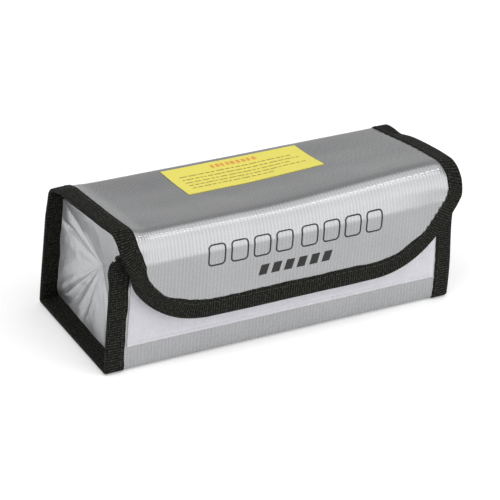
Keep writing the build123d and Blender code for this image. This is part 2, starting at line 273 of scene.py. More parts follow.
def make_object(name, points, faces, coords=None, sharp=55.0):
    """A mesh object, with the pattern's own coordinates kept in the attribute 'pattern'."""
    mesh = bpy.data.meshes.new(name)
    mesh.from_pydata([tuple(p) for p in np.asarray(points).reshape(-1, 3)], [], [tuple(f) for f in faces])
    mesh.validate()
    if coords is not None:
        attribute = mesh.attributes.new("pattern", "FLOAT_VECTOR", "POINT")
        attribute.data.foreach_set("vector", np.asarray(coords, np.float32).ravel())
    mesh.polygons.foreach_set("use_smooth", [True] * len(mesh.polygons))
    mesh.set_sharp_from_angle(angle=math.radians(sharp))
    mesh.update()
    return linked(name, mesh)


def cap(first, count, flip=False):
    """One face over a ring of points."""
    face = tuple(range(first, first + count))
    return face[::-1] if flip else face


def loft_faces(rows, columns, close_rows=False, close_columns=False, start=0, flip=False):
    """Quads between neighbours of a grid of points."""
    faces = []
    for r in range(rows if close_rows else rows - 1):
        for c in range(columns if close_columns else columns - 1):
            near, far = start + r * columns, start + (r + 1) % rows * columns
            beside = (c + 1) % columns
            quad = (near + c, near + beside, far + beside, far + c)
            faces.append(quad[::-1] if flip else quad)
    return faces


def shell(name, top, bottom, faces, pattern):
    """A closed sheet from its two sides' points and the faces of one side."""
    top, bottom, pattern = (grid.reshape(-1, 3) for grid in (top, bottom, pattern))
    count = len(top)
    edges = dict.fromkeys(edge for face in faces for edge in zip(face, face[1:] + face[:1]))
    walls = [(b, a, a + count, b + count) for a, b in edges if (b, a) not in edges]
    under = [tuple(k + count for k in reversed(face)) for face in faces]
    points = np.concatenate([top, bottom])
    return make_object(name, points, faces + under + walls, np.concatenate([pattern, pattern]))


def slab(name, x, s, h_top, h_bottom):
    """A closed piece over a grid of places on the sheet, between two heights."""
    pattern = np.stack([x, s, 0 * x], axis=-1)
    return shell(name, surf(x, s, h_top), surf(x, s, h_bottom), loft_faces(*x.shape), pattern)


def spaced(low, high, pitch):
    """Evenly spaced values that include both ends."""
    return np.linspace(low, high, max(2, int(round((high - low) / pitch)) + 1))


def cloth_slab(name, s_low, s_high, half_width, h_top, h_bottom, pucker, pitch):
    """A piece of cloth over a stretch of the section. half_width is a number or a function of s."""
    s = spaced(s_low, s_high, pitch)
    share = spaced(-1, 1, pitch / HALF)
    width = half_width(s) if callable(half_width) else np.full(len(s), half_width)
    x = share[None, :] * width[:, None]
    s_grid = np.repeat(s[:, None], len(share), axis=1)
    edge = np.exp(-(HALF - TAPE_WIDTH - np.minimum(np.abs(x), HALF - TAPE_WIDTH)) / (3.5 * MM))
    drawn = pucker * edge * np.sin(2 * math.pi * s_grid / (5.2 * MM) + 3 * ripple(x, s_grid, 14 * MM, 2.0))
    return slab(name, x, s_grid, h_top + drawn, h_bottom)


# -------- paths on the sheet

def turned(vector, angle):
    """A plane vector turned by an angle."""
    c, sn = math.cos(angle), math.sin(angle)
    return np.array([c * vector[0] - sn * vector[1], sn * vector[0] + c * vector[1]])


def rounded_path(points, radii, pitch):
    """Points along a polyline in the sheet with rounded corners, and their unit directions."""
    points = np.asarray(points, float)
    out, way = [], []

    def run(a, b):
        """A straight stretch, without its last point."""
        count = max(1, int(round(np.linalg.norm(b - a) / pitch)))
        direction = (b - a) / max(np.linalg.norm(b - a), 1e-9)
        for k in range(count):
            out.append(a + (b - a) * k / count)
            way.append(direction)

    at = points[0]
    for i in range(1, len(points) - 1):
        before = points[i] - points[i - 1]
        after = points[i + 1] - points[i]
        before /= np.linalg.norm(before)
        after /= np.linalg.norm(after)
        turn = math.atan2(before[0] * after[1] - before[1] * after[0], before @ after)
        step = radii[i - 1] * math.tan(abs(turn) / 2)
        arc_start = points[i] - before * step
        run(at, arc_start)
        side = np.array([-before[1], before[0]]) * math.copysign(1, turn)
        centre = arc_start + side * radii[i - 1]
        count = max(2, int(round(radii[i - 1] * abs(turn) / pitch)))
        for k in range(count):
            out.append(centre + turned(arc_start - centre, turn * k / count))
            way.append(turned(before, turn * k / count))
        at = points[i] + after * step
    run(at, points[-1])
    out.append(points[-1])
    way.append(way[-1])
    return np.array(out), np.array(way)


def along(path):
    """Arc length at each point of a path."""
    return np.concatenate([[0], np.cumsum(np.linalg.norm(np.diff(path, axis=0), axis=1))])


def flap_edge():
    """The edge of the lid's front half and the flap: left side, rounded bottom, right side."""
    left = [(-HALF, S_LID_SPLIT), (-HALF, S_END - FLAP_SHOULDER), (-FLAP_HALF_BOTTOM, S_END)]
    right = [(-x, s) for x, s in reversed(left)]
    return rounded_path(left + right, FLAP_RADII, 1.1 * MM)


def side_edge(side, s_low, s_high, pitch=1.1 * MM):
    """One straight side edge, from s_low to s_high."""
    s = spaced(s_low, s_high, pitch)
    path = np.stack([np.full(len(s), side * HALF), s], axis=1)
    return path, np.tile([0.0, 1.0], (len(s), 1))


# -------- binding tape

def inner_leg(s):
    """How wide the bag's tape is on the inside: widest at the bottom's back corner."""
    bottom = between(s, S_FRONT_LOW, S_FLOOR + 4 * MM, S_FLOOR_END, S_BACK + 6 * MM)
    back = hump(s, S_FLOOR_END, 24 * MM)
    return INNER_LEG + (0.6 * bottom + 1.0 * back * bottom) * MM + 0.4 * MM * ripple(0 * s, s, 9 * MM, 31.0)


def tape_section(width, under, inner):
    """The folded tape's closed outline, as (in from the edge, height), with its inner leg's width."""
    top, low = TAPE_PROUD, -under - TAPE_THICK
    middle, tall = (top + low) / 2, (top - low) / 2
    nose = 1.5 * MM
    legs = [width, width - 0.25 * MM, 0.85 * width, 0.6 * width, 0.4 * width, 0.25 * width]
    notch = [0.2 * MM] + [0.0] * (len(legs) - 1)
    outside = [(u, top - down) for u, down in zip(legs, notch)]
    for k in range(9):
        angle = math.pi / 2 + math.pi * k / 8
        c, sn = math.cos(angle), math.sin(angle)
        square = (math.copysign(abs(c) ** 0.7, c), math.copysign(abs(sn) ** 0.7, sn))
        outside.append((nose + nose * square[0], middle + tall * square[1]))
    outside += [(u * inner / width, low + up) for u, up in zip(legs[::-1], notch[::-1])]
    inside = [
        (inner, low + TAPE_THICK),
        (0.5 * inner, low + TAPE_THICK),
        (nose, low + TAPE_THICK),
        (TAPE_THICK, middle),
        (nose, top - TAPE_THICK),
        (0.5 * width, top - TAPE_THICK),
        (width, top - TAPE_THICK),
    ]
    return np.array(outside + inside)


def tape(name, path, inward, under, seed, width=BINDING, inner=BINDING - 0.8 * MM, trim=0.0, wider=0.0):
    """Tape folded over an edge. Along the path, trim moves the edge inwards, wider widens the outside."""
    distance = along(path)
    under, inner, trim, wider = (
        np.broadcast_to(value, distance.shape) for value in (under, inner, trim, wider)
    )
    across = along(tape_section(width, float(under[0]), float(inner[0])))
    rows, coords = [], []
    for k, (at, run) in enumerate(zip(path, distance)):
        section = tape_section(width, float(under[k]), float(inner[k]))
        front_side = section[:, 1] > -under[k] / 2
        wobble = wider[k] + 0.55 * MM * noise.noise(Vector((run / (11 * MM), seed, 0)) + SEED)
        wobble += 0.25 * MM * noise.noise(Vector((run / (3.5 * MM), seed, 5)) + SEED)
        swell = 0.14 * MM * noise.noise(Vector((run / (7 * MM), seed, 9)) + SEED)
        u = section[:, 0] * (1 + front_side * wobble / width * smooth(section[:, 0], 0.3 * width, width))
        u = u * (1 - trim[k] / width) + trim[k]
        outer = np.where(front_side, 1, -1)
        h = section[:, 1] + swell * outer * smooth(section[:, 0], 0, 3 * MM)
        rows.append(surf(*(at + u[:, None] * inward[k]).T, h))
        coords.append(np.stack([np.full(len(across), run), across, 0 * across], axis=1))
    rows, coords = np.array(rows), np.array(coords)
    n, m = rows.shape[:2]
    faces = loft_faces(n, m, close_columns=True)
    faces += [cap(0, m, flip=True), cap((n - 1) * m, m)]
    return make_object(name, rows, faces, coords, sharp=70)


def inward_of(way, side=1):
    """The direction into the cloth: to the left of the path's direction, or to the right."""
    return np.stack([side * way[:, 1], -side * way[:, 0]], axis=1)


# -------- stitches and print

STITCH_PITCH = 3.3 * MM
STITCH_LENGTH = 2.5 * MM
STITCH_DIP = 0.35 * MM
THREAD = 0.42 * MM


def stitch_line(name, path, way, h):
    """Separate stitches along a path on the sheet, each a thread that dips in at its ends."""
    distance = along(path)
    total = distance[-1]
    count = int(total // STITCH_PITCH)
    ring, steps_along = 6, 7
    points, faces, coords = [], [], []
    for k in range(count):
        middle = (k + 0.5) * total / count
        skew = 0.12 * MM * noise.noise(Vector((k * 0.37, total * 90, 2.2)) + SEED)
        for j in range(steps_along):
            t = j / (steps_along - 1) * 2 - 1
            run = middle + t * STITCH_LENGTH / 2
            at = np.array([np.interp(run, distance, path[:, i]) for i in (0, 1)])
            direction = np.array([np.interp(run, distance, way[:, i]) for i in (0, 1)])
            lateral = np.array([-direction[1], direction[0]])
            lift = h - STITCH_DIP * t ** 4
            r = THREAD / 2 * (1 - 0.35 * t * t)
            for a in range(ring):
                angle = 2 * math.pi * a / ring
                spot = at + lateral * (r * math.cos(angle) + skew * t)
                points.append((*spot, lift + 0.8 * r * math.sin(angle)))
                coords.append((run, a * THREAD, 0))
        first = k * ring * steps_along
        faces += loft_faces(steps_along, ring, close_columns=True, start=first)
        faces += [cap(first, ring), cap(first + ring * (steps_along - 1), ring, flip=True)]
    return make_object(name, surf(*np.array(points).T), faces, coords, sharp=80)


def joined(name, pieces):
    """Several mesh objects made into one."""
    with bpy.context.temp_override(
        active_object=pieces[0], selected_editable_objects=pieces, selected_objects=pieces
    ):
        bpy.ops.object.join()
    pieces[0].name = name
    return pieces[0]


def ribbons(name, outlines, h, width, thick):
    """Closed printed lines on the sheet, each a thin raised band."""
    points, faces, coords = [], [], []
    for outline in outlines:
        ahead = np.roll(outline, -1, axis=0) - np.roll(outline, 1, axis=0)
        ahead /= np.linalg.norm(ahead, axis=1)[:, None]
        lateral = np.stack([-ahead[:, 1], ahead[:, 0]], axis=1) * width / 2
        first = len(points)
        for at, side in zip(outline, lateral):
            for sign, level in ((1, 0), (1, thick), (-1, thick), (-1, 0)):
                points.append((*(at + sign * side), h + level))
                coords.append((*(at + sign * side), 0))
        faces += loft_faces(len(outline), 4, close_rows=True, close_columns=True, start=first)
    return make_object(name, surf(*np.array(points).T), faces, coords)


def patches(name, boxes, h, thick, slant=0.0):
    """Solid printed blocks on the sheet, from (x low, x high, s low, s high) boxes."""
    made = []
    for x_low, x_high, s_low, s_high in boxes:
        x, s = np.meshgrid(spaced(x_low, x_high, 1 * MM), spaced(s_low, s_high, 1 * MM))
        made.append(slab(name, x + slant * (s - s_high), s, h + thick, h - 0.02 * MM))
    return joined(name, made)


def rounded_block(x, s, width, height, radius):
    """A closed rounded rectangle in the sheet, centred on (x, s)."""
    out = []
    for sx, sy, first in ((1, 1, 0), (-1, 1, 90), (-1, -1, 180), (1, -1, 270)):
        centre = np.array([x + sx * (width / 2 - radius), s + sy * (height / 2 - radius)])
        for angle in np.radians(first + np.linspace(0, 90, 5)):
            out.append(centre + radius * np.array([math.cos(angle), math.sin(angle)]))
    out = np.array(out)
    dense = []
    for a, b in zip(out, np.roll(out, -1, axis=0)):
        count = max(1, int(round(np.linalg.norm(b - a) / (0.6 * MM))))
        dense += [a + (b - a) * k / count for k in range(count)]
    return np.array(dense)


# -------- materials

class Look:
    """The nodes of a material or a world, with helpers that add to them and join them."""

    def __init__(self, owner, shader="Principled BSDF"):
        owner.use_nodes = True
        self.tree = owner.node_tree
        self.shader = self.tree.nodes[shader]

    def node(self, kind, inputs=(), **settings):
        """A node. Each input is a value or another node's output."""
        made = self.tree.nodes.new(kind)
        for key, value in settings.items():
            setattr(made, key, value)
        for key, value in dict(inputs).items():
            if isinstance(value, bpy.types.NodeSocket):
                self.tree.links.new(value, made.inputs[key])
            else:
                made.inputs[key].default_value = value
        return made

    def maths(self, operation, *values):
        """One sum."""
        return self.node("ShaderNodeMath", dict(enumerate(values)), operation=operation).outputs[0]

    def scaled(self, value, factor, offset):
        """value times factor, plus offset."""
        return self.maths("MULTIPLY_ADD", value, factor, offset)

    def sine(self, value, pitch):
        """0 to 1, once for each pitch of value."""
        return self.scaled(self.maths("SINE", self.scaled(value, 2 * math.pi / pitch, 0.0)), 0.5, 0.5)

    def pattern(self):
        """The sheet's own coordinates: whole, along and across."""
        vector = self.node("ShaderNodeAttribute", attribute_name="pattern").outputs["Vector"]
        split = self.node("ShaderNodeSeparateXYZ", {0: vector})
        return vector, split.outputs["X"], split.outputs["Y"]

    def noise(self, vector, size, detail=3.0, rough=0.5):
        """Noise from 0 to 1 with features of about that size."""
        inputs = {"Scale": 1 / size, "Detail": detail, "Roughness": rough, "Vector": vector}
        return self.node("ShaderNodeTexNoise", inputs).outputs[0]

    def spread(self, value, low, high, to_low, to_high):
        """value, with its range from low to high brought to another range."""
        inputs = {"Value": value, "From Min": low, "From Max": high, "To Min": to_low, "To Max": to_high}
        return self.node("ShaderNodeMapRange", inputs).outputs[0]

    def wire(self, output, socket):
        """Join an output to the shader."""
        self.tree.links.new(output, self.shader.inputs[socket])

    def colour(self, factor, low, high):
        """The base colour, from low to high as factor goes from 0 to 1."""
        inputs = {0: factor, 6: (*low, 1), 7: (*high, 1)}
        self.wire(self.node("ShaderNodeMix", inputs, data_type="RGBA").outputs[2], "Base Color")

    def bump(self, height, distance, **under):
        """A bump in metres, over another one if that is given as Normal."""
        inputs = {"Height": height, "Distance": distance, "Strength": 1.0, **under}
        normal = self.node("ShaderNodeBump", inputs).outputs[0]
        self.wire(normal, "Normal")
        return normal

    def set_to(self, **values):
        """Values that are the same all over."""
        for key, value in values.items():
            self.shader.inputs[key.replace("_", " ")].default_value = value


def new_look(name):
    """A new material and its nodes."""
    material = bpy.data.materials.new(name)
    return material, Look(material)


def silver_cloth(name, tone, rib_x, rib_s, crumple, roughness):
    """Aluminium-coated glass cloth: fine ribs both ways, rougher in the gaps; the colour is darker in the
    gaps and lighter on the ribs, painted shade and highlight.
    """
    material, m = new_look(name)
    vector, x, s = m.pattern()
    drift = m.noise(vector, 4 * MM, 2.0)
    x_bent = m.scaled(drift, 0.25 * MM, x)
    weft = m.sine(m.scaled(drift, 0.2 * MM, s), 0.9 * MM)
    crossing = m.maths("ABSOLUTE", m.maths("SUBTRACT", m.sine(x_bent, 2.4 * MM), weft))
    warp = m.maths("MULTIPLY", m.sine(x_bent, 1.8 * MM), rib_x)
    weave = m.maths("ADD", warp, m.maths("MULTIPLY", crossing, rib_s))
    slub = m.noise(vector, 1.6 * MM, 2.0)
    worn = m.spread(m.noise(vector, 22 * MM), 0.35, 0.7, 0.94, 1.05)
    # painted shade and highlight: the weave darkens the colour in its gaps and lightens it on its ribs
    shade = m.maths("MULTIPLY", m.scaled(weave, 0.29, 0.795), worn)
    shade = m.maths("MULTIPLY", shade, m.scaled(slub, 0.06, 0.97))
    m.colour(shade, [0.35 * c for c in tone], tone)
    m.wire(m.scaled(weave, -0.06, m.scaled(slub, 0.10, roughness - 0.05)), "Roughness")
    m.set_to(Metallic=0.82)
    normal = m.bump(m.scaled(slub, 0.08, weave), 0.024 * MM)
    if crumple:
        m.bump(m.noise(vector, 7 * MM, 5.0, 0.6), crumple, Normal=normal)
    return material


def tape_material():
    """Black grosgrain: cross ribs and fine threads along; the colour is lighter on the rib crests and in
    pale specks, painted highlight.
    """
    material, m = new_look("black_grosgrain")
    vector, run, across = m.pattern()
    rib = m.sine(m.scaled(m.noise(vector, 3 * MM, 2.0), 0.5 * MM, run), 1.25 * MM)
    weave = m.maths("MULTIPLY", rib, m.scaled(m.sine(across, 0.9 * MM), 0.45, 0.55))
    speck = m.noise(vector, 1.0 * MM, 3.0, 0.7)
    # painted highlight: lighter colour on the rib crests and in pale specks
    lit = m.maths("MULTIPLY", m.scaled(weave, 0.45, 0.65), speck)
    m.colour(m.spread(lit, 0.41, 0.62, 0.0, 1.0), (0.0006, 0.0007, 0.0003), (0.052, 0.054, 0.040))
    m.wire(m.scaled(speck, 0.2, 0.62), "Roughness")
    m.set_to(Specular_IOR_Level=0.14)
    m.bump(m.scaled(speck, 0.6, weave), 0.25 * MM)
    return material


def lining_material():
    """Off-white plain-woven glass cloth."""
    material, m = new_look("glass_lining")
    vector, x, s = m.pattern()
    weave = m.maths("ABSOLUTE", m.maths("SUBTRACT", m.sine(x, 1.1 * MM), m.sine(s, 1.1 * MM)))
    soil = m.noise(vector, 14 * MM)
    m.colour(m.scaled(weave, 0.3, m.scaled(soil, 0.3, 0.5)), (0.52, 0.52, 0.49), (0.82, 0.82, 0.79))
    m.wire(m.scaled(soil, 0.1, 0.75), "Roughness")
    m.bump(weave, 0.12 * MM)
    return material


def pile_material(name, low, high, size, depth):
    """Brushed loops: a soft fuzz with small tufts."""
    material, m = new_look(name)
    vector = m.pattern()[0]
    fuzz = m.noise(vector, size, 5.0, 0.65)
    cloud = m.noise(vector, 12 * size, 2.0)
    cells = m.node("ShaderNodeTexVoronoi", {"Scale": 0.7 / size, "Vector": vector}).outputs[0]
    tufts = m.scaled(cells, -0.5, fuzz)
    m.colour(m.scaled(cloud, 0.5, m.scaled(tufts, 0.9, 0.2)), low, high)
    m.wire(m.scaled(fuzz, 0.1, 0.85), "Roughness")
    m.set_to(Sheen_Weight=0.5, Sheen_Roughness=0.6, Specular_IOR_Level=0.15)
    m.bump(tufts, depth)
    return material


def thread_material(name, dark, pale):
    """Twisted sewing thread."""
    material, m = new_look(name)
    _, run, round_it = m.pattern()
    twist = m.sine(m.scaled(round_it, 0.8, run), 0.5 * MM)
    m.colour(twist, dark, pale)
    m.wire(m.scaled(twist, -0.1, 0.5), "Roughness")
    m.bump(twist, 0.06 * MM)
    return material


def film_material(name, colour, shift, roughness):
    """Printed film: nearly even colour, with faint mottling and the weave showing through."""
    material, m = new_look(name)
    vector, x, s = m.pattern()
    mottle = m.noise(vector, 6 * MM, 4.0)
    weave = m.maths("MULTIPLY", m.sine(x, 1.2 * MM), m.sine(s, 0.9 * MM))
    m.colour(mottle, [c * shift for c in colour], colour)
    m.wire(m.scaled(mottle, 0.15, roughness), "Roughness")
    m.set_to(Specular_IOR_Level=0.4)
    m.bump(m.scaled(weave, 0.4, mottle), 0.04 * MM)
    return material


# each look is a material and its slot in the record
cloth_look = silver_cloth("silver_weave", (0.375, 0.378, 0.385), 0.7, 0.35, 0.0, 0.30), "silver_cloth"
gusset_look = silver_cloth("silver_crumpled", (0.56, 0.565, 0.58), 0.5, 0.9, 0.3 * MM, 0.42), "silver_gusset"
tape_look = tape_material(), "binding_tape"
lining_look = lining_material(), "lining_cloth"
loop_white = pile_material("loop_pile_white", (0.47, 0.465, 0.51), (0.63, 0.625, 0.67), 0.5 * MM, 0.35 * MM)
loop_look = loop_white, "loop_fabric"
hook_white = pile_material("hook_tape_white", (0.62, 0.62, 0.66), (0.82, 0.82, 0.85), 0.8 * MM, 0.2 * MM)
hook_look = hook_white, "hook_fabric"
dark_thread = thread_material("thread_black", (0.004, 0.004, 0.004), (0.022, 0.022, 0.018)), "black_thread"
pale_thread = thread_material("thread_pale", (0.45, 0.45, 0.47), (0.72, 0.72, 0.75)), "pale_thread"
# a brighter copy of the pale thread: painted highlight for the stitches along the fold
pale_thread_highlit = thread_material("thread_white", (0.78, 0.78, 0.80), (0.97, 0.97, 0.98)), "pale_thread"
label_look = film_material("label_yellow", (0.80, 0.715, 0.125), 0.93, 0.45), "yellow_label"
heading_look = film_material("print_orange", (0.74, 0.34, 0.07), 0.9, 0.5), "yellow_label"
small_look = film_material("print_olive", (0.34, 0.28, 0.06), 0.7, 0.5), "yellow_label"
outline_look = film_material("print_black", (0.012, 0.012, 0.012), 0.6, 0.5), "black_thread"


# -------- placing

# how far to each side of its hinge a fold turns from one body to the next
BACK_BLEND = 0.2 * MM
FRONT_BLEND = 1.8 * MM
FOLD_BACK = dict(
    a="bag", b="lid", start=(0, HINGE_Y, HINGE_Z - BACK_BLEND), end=(0, HINGE_Y - BACK_BLEND, HINGE_Z)
)
FOLD_FRONT = dict(
    a="lid", b="flap", start=(0, BROW_Y + FRONT_BLEND, BROW_Z), end=(0, BROW_Y - FRONT_BLEND, BROW_Z)
)


def place(obj, body, look, *nodes):
    """Give a piece its look, tie it to a body's motion or, for a fold, only bake its placement into the
    mesh, and hide the nodes it stands for. body is a body's name or a fold.
    """
    material, slot = look
    obj.data.materials.clear()
    obj.data.materials.append(material)
    if isinstance(body, str):
        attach(obj, body)
    else:
        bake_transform(obj)
    if nodes:
        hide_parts(*nodes)
    return obj


def s_on_lid(y):
    """Arc length of the point of the lid's flat at that y."""
    return S_LID + (CORNERS[3][0] + reach[3] * lid_way[0] - y) / -lid_way[0]


CLOTH_INSET = 1.5 * MM
tube_width = HALF - CLOTH_INSET
edge_path, edge_way = flap_edge()
edge_in = inward_of(edge_way)
inset_path = edge_path + edge_in * CLOTH_INSET
right_side = inset_path[len(inset_path) // 2:]
by_s = np.argsort(right_side[:, 1], kind="stable")
flap_s, flap_x = right_side[by_s, 1], right_side[by_s, 0]
FLAP_LOW = S_END - CLOTH_INSET


def front_width(s):
    """Half the width of the lid's front half and the flap, inside their tape."""
    return np.interp(s, flap_s, flap_x)


# cloth and lining: each layer's heights and pucker, each part's ends and half-width
deep = -CLOTH - LINING
outer, inner = (0, -CLOTH, 0.06 * MM), (-CLOTH, deep, 0.0)
tube_part = (CLOTH_INSET, S_BACK_SPLIT, tube_width)
back_part = (S_BACK_SPLIT, S_LID_SPLIT, tube_width)
front_part = (S_LID_SPLIT, FLAP_LOW, front_width)
for name, part, layer, pitch, body, look, node in (
    ("wrap_cloth", tube_part, outer, 1.6 * MM, "bag", cloth_look, "outer_wrap"),
    ("back_cloth", back_part, outer, 1.2 * MM, FOLD_BACK, cloth_look, "lid_panel"),
    ("flap_cloth", front_part, outer, 1.1 * MM, FOLD_FRONT, cloth_look, "flap_panel"),
    ("wrap_lining", tube_part, inner, 2.0 * MM, "bag", lining_look, "inner_lining"),
    ("back_lining", back_part, inner, 1.2 * MM, FOLD_BACK, lining_look, "lid_lining"),
    ("flap_inner", front_part, inner, 1.1 * MM, FOLD_FRONT, lining_look, "flap_lining"),
):
    place(cloth_slab(name, *part, *layer, pitch), body, look, node)

# edge tapes
STITCH_IN = BINDING - 1.7 * MM
STITCH_UP = TAPE_PROUD + 0.06 * MM
MOUTH_TUCK = 0.6 * MM
for side, word in ((-1, "left"), (1, "right")):
    path, way = side_edge(side, MOUTH_TUCK, S_BACK_SPLIT)
    inward = inward_of(way, -side)
    trim = 2.6 * MM * (1 - smooth(path[:, 1], MOUTH_TUCK, MOUTH_TUCK + 4.5 * MM))
    trim -= 0.9 * MM * hump(path[:, 1], 9 * MM, 4 * MM)
    leg = inner_leg(path[:, 1])
    end_tape = tape(f"{word}_end_tape", path, inward, FLANGE_BAG, 10 + side, inner=leg, trim=trim)
    place(end_tape, "bag", tape_look, f"{word}_end_binding")
    row = stitch_line(f"{word}_end_stitches", (path + inward * STITCH_IN)[2:-2], way[2:-2], STITCH_UP)
    place(row, "bag", dark_thread, f"{word}_end_stitching")

    path, way = side_edge(side, S_BACK_SPLIT, S_LID_SPLIT, 0.9 * MM)
    inward = inward_of(way, -side)
    under = FLANGE_BAG + (FLANGE_LID - FLANGE_BAG) * smooth(path[:, 1], S_BACK_TOP - 8 * MM, S_LID)
    wider = 1.0 * MM * smooth(path[:, 1], S_HINGE - 10 * MM, S_HINGE) * (side < 0)
    corner_tape = tape(f"{word}_corner_tape", path, inward, under, 20 + side, wider=wider)
    place(corner_tape, FOLD_BACK, tape_look, f"{word}_lid_binding")
    row = stitch_line(f"{word}_corner_stitches", path + inward * STITCH_IN, way, STITCH_UP)
    place(row, FOLD_BACK, dark_thread, *(["lid_binding_stitching"] if side < 0 else []))

# the flap's tape is wider over the brow at the left, and slimmer down its sides
edge_s = edge_path[:, 1]
upper = 1 - smooth(edge_s, S_BROW - 8 * MM, S_CREASE)
bend = between(edge_s, S_CREASE - 2 * MM, S_CREASE + 8 * MM, S_END - 10 * MM, S_END - 3 * MM)
slim = between(edge_s, S_BROW, S_CREASE, S_CREASE + 16 * MM, S_CREASE + 27 * MM)
wider = np.where(edge_path[:, 0] < 0, 1.0 * upper - 1.3 * bend, -1.6 * slim) * MM
flap_tape = tape("flap_tape", edge_path, edge_in, FLANGE_LID, 33, wider=wider)
place(flap_tape, FOLD_FRONT, tape_look, "flap_binding")
flap_stitches = stitch_line("flap_stitches", edge_path + edge_in * STITCH_IN, edge_way, STITCH_UP)
place(flap_stitches, FOLD_FRONT, dark_thread, "flap_binding_stitching")

mouth_half = HALF - TAPE_WIDTH - 0.4 * MM
mouth_x = spaced(-mouth_half, mouth_half, 1.3 * MM)
mouth_path = np.stack([mouth_x, 0 * mouth_x], axis=1)
mouth_in = np.tile([0.0, 1.0], (len(mouth_path), 1))
MOUTH_WIDTH = mouth_high.z - mouth_low.z
mouth_tape = tape("mouth_tape", mouth_path, mouth_in, FLANGE_LID, 41, MOUTH_WIDTH, MOUTH_WIDTH - 0.8 * MM)
place(mouth_tape, "bag", tape_look, "mouth_binding")

# hook and loop
LOOP_HALF = loop_high.x
loop_s = spaced(FRONT_TOP - loop_high.z, FRONT_TOP - loop_low.z, 0.7 * MM)
loop_x = spaced(-LOOP_HALF, LOOP_HALF, 0.8 * MM)
x, s = np.meshgrid(loop_x, loop_s)
rim = np.minimum(LOOP_HALF - np.abs(x), np.minimum(s - loop_s[0], loop_s[-1] - s))
pressed = 0.45 * hump(rim, 1.7 * MM, 0.8 * MM)
rise = (0.35 + 0.75 * smooth(rim, 0, 1.4 * MM) - pressed) * MM
tuft = 0.10 * MM * ripple(x, s, 1.9 * MM, 6.0) + 0.08 * MM * ripple(x, s, 5 * MM, 7.0)
place(slab("loop_pile", x, s, rise + tuft, 0.02 * MM), "bag", loop_look, "loop_strip")


def level_row(name, s_at, half, h, rise=0.0):
    """A row of stitches across the bag, which curves up by rise towards both ends."""
    xs = spaced(-half, half, 2 * MM)
    path = np.stack([xs, s_at - rise * (xs / half) ** 2], axis=1)
    return stitch_line(name, path, np.tile([1.0, 0.0], (len(xs), 1)), h)


def strip_rows(name, s_low, s_high, inset, half, h):
    """A row of stitches along each long edge of a strip."""
    edges = (s_low + inset, s_high - inset)
    return joined(name, [level_row(name, s_at, half - 2 * MM, h) for s_at in edges])


loop_stitches = strip_rows("loop_stitches", loop_s[0], loop_s[-1], 1.7 * MM, LOOP_HALF, 0.75 * MM)
place(loop_stitches, "bag", pale_thread, "loop_strip_stitching")

# the hook strip, on the flap's inside
hook_half = hook_high.x
hook_s_low = S_END - (hook_high.z - FLAP_BOTTOM)
hook_s_high = S_END - (hook_low.z - FLAP_BOTTOM)
x, s = np.meshgrid(spaced(-hook_half, hook_half, 1.2 * MM), spaced(hook_s_low, hook_s_high, 1.2 * MM))
hook_base = slab("hook_base", x, s, deep, deep - 0.5 * MM)
HOOK_PITCH = 1.25 * MM
HOOK_RADIUS = 0.17 * MM
HOOK_HEIGHT = 0.5 * MM
HOOK_LEAN = 0.35 * MM


def hook_field():
    """Rows of small bent hooks standing on the strip's base."""
    ring, levels = 5, 4
    points, faces, coords = [], [], []
    for row, s_at in enumerate(np.arange(hook_s_low + 2.6 * MM, hook_s_high - 2.2 * MM, HOOK_PITCH)):
        for x_at in np.arange(-hook_half + 2.4 * MM, hook_half - 2 * MM, HOOK_PITCH):
            first = len(points)
            shift = 0.6 * MM * (row % 2)
            for level in range(levels):
                t = level / (levels - 1)
                lean = HOOK_LEAN * t * t * (1 if row % 2 else -1)
                r = HOOK_RADIUS * (1 - 0.35 * t)
                h = deep - 0.45 * MM - HOOK_HEIGHT * t
                for a in range(ring):
                    angle = 2 * math.pi * a / ring
                    points.append((x_at + shift + lean + r * math.cos(angle), s_at + r * math.sin(angle), h))
                    coords.append((x_at, s_at, t))
            faces += loft_faces(levels, ring, close_columns=True, start=first, flip=True)
            faces += [cap(first + (levels - 1) * ring, ring, flip=True), cap(first, ring)]
    return make_object("hook_field", surf(*np.array(points).T), faces, coords, sharp=80)


place(joined("hook_tape", [hook_base, hook_field()]), "flap", hook_look, "hook_strip")
hook_stitches = strip_rows("hook_stitches", hook_s_low, hook_s_high, 1.2 * MM, hook_half, deep - 0.55 * MM)
place(hook_stitches, "flap", pale_thread, "hook_strip_stitching")

# fold stitches, label and print
SEAM_FORWARD = 9.4 * MM
SEAM_RISE = 1.0 * MM
fold_low, fold_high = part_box("fold_stitching")
fold_s = s_on_lid((fold_low.y + fold_high.y) / 2) + SEAM_FORWARD
fold_row = level_row("fold_stitches", fold_s, HALF - TAPE_WIDTH - 1 * MM, 0.12 * MM, SEAM_RISE)
# the fold's stitches take the brighter copy of the pale thread, a painted highlight
place(fold_row, FOLD_FRONT, pale_thread_highlit, "fold_stitching")

LABEL_FACE = 0.28 * MM
LABEL_PRINT = 0.04 * MM
label_s = (s_on_lid(label_high.y), s_on_lid(label_low.y))
x, s = np.meshgrid(spaced(label_low.x, label_high.x, 1 * MM), spaced(*label_s, 1 * MM))
place(slab("label", x, s, LABEL_FACE, 0.03 * MM), "lid", label_look, "lid_label")
draw = np.random.default_rng(11)


def dashes(x_low, x_high, s_low, s_high, shortest, longest, gap):
    """A broken line of short blocks."""
    boxes = []
    at = x_low
    while at < x_high - shortest:
        length = min(draw.uniform(shortest, longest), x_high - at)
        boxes.append((at, at + length, s_low, s_high))
        at += length + gap * draw.uniform(0.7, 1.3)
    return boxes


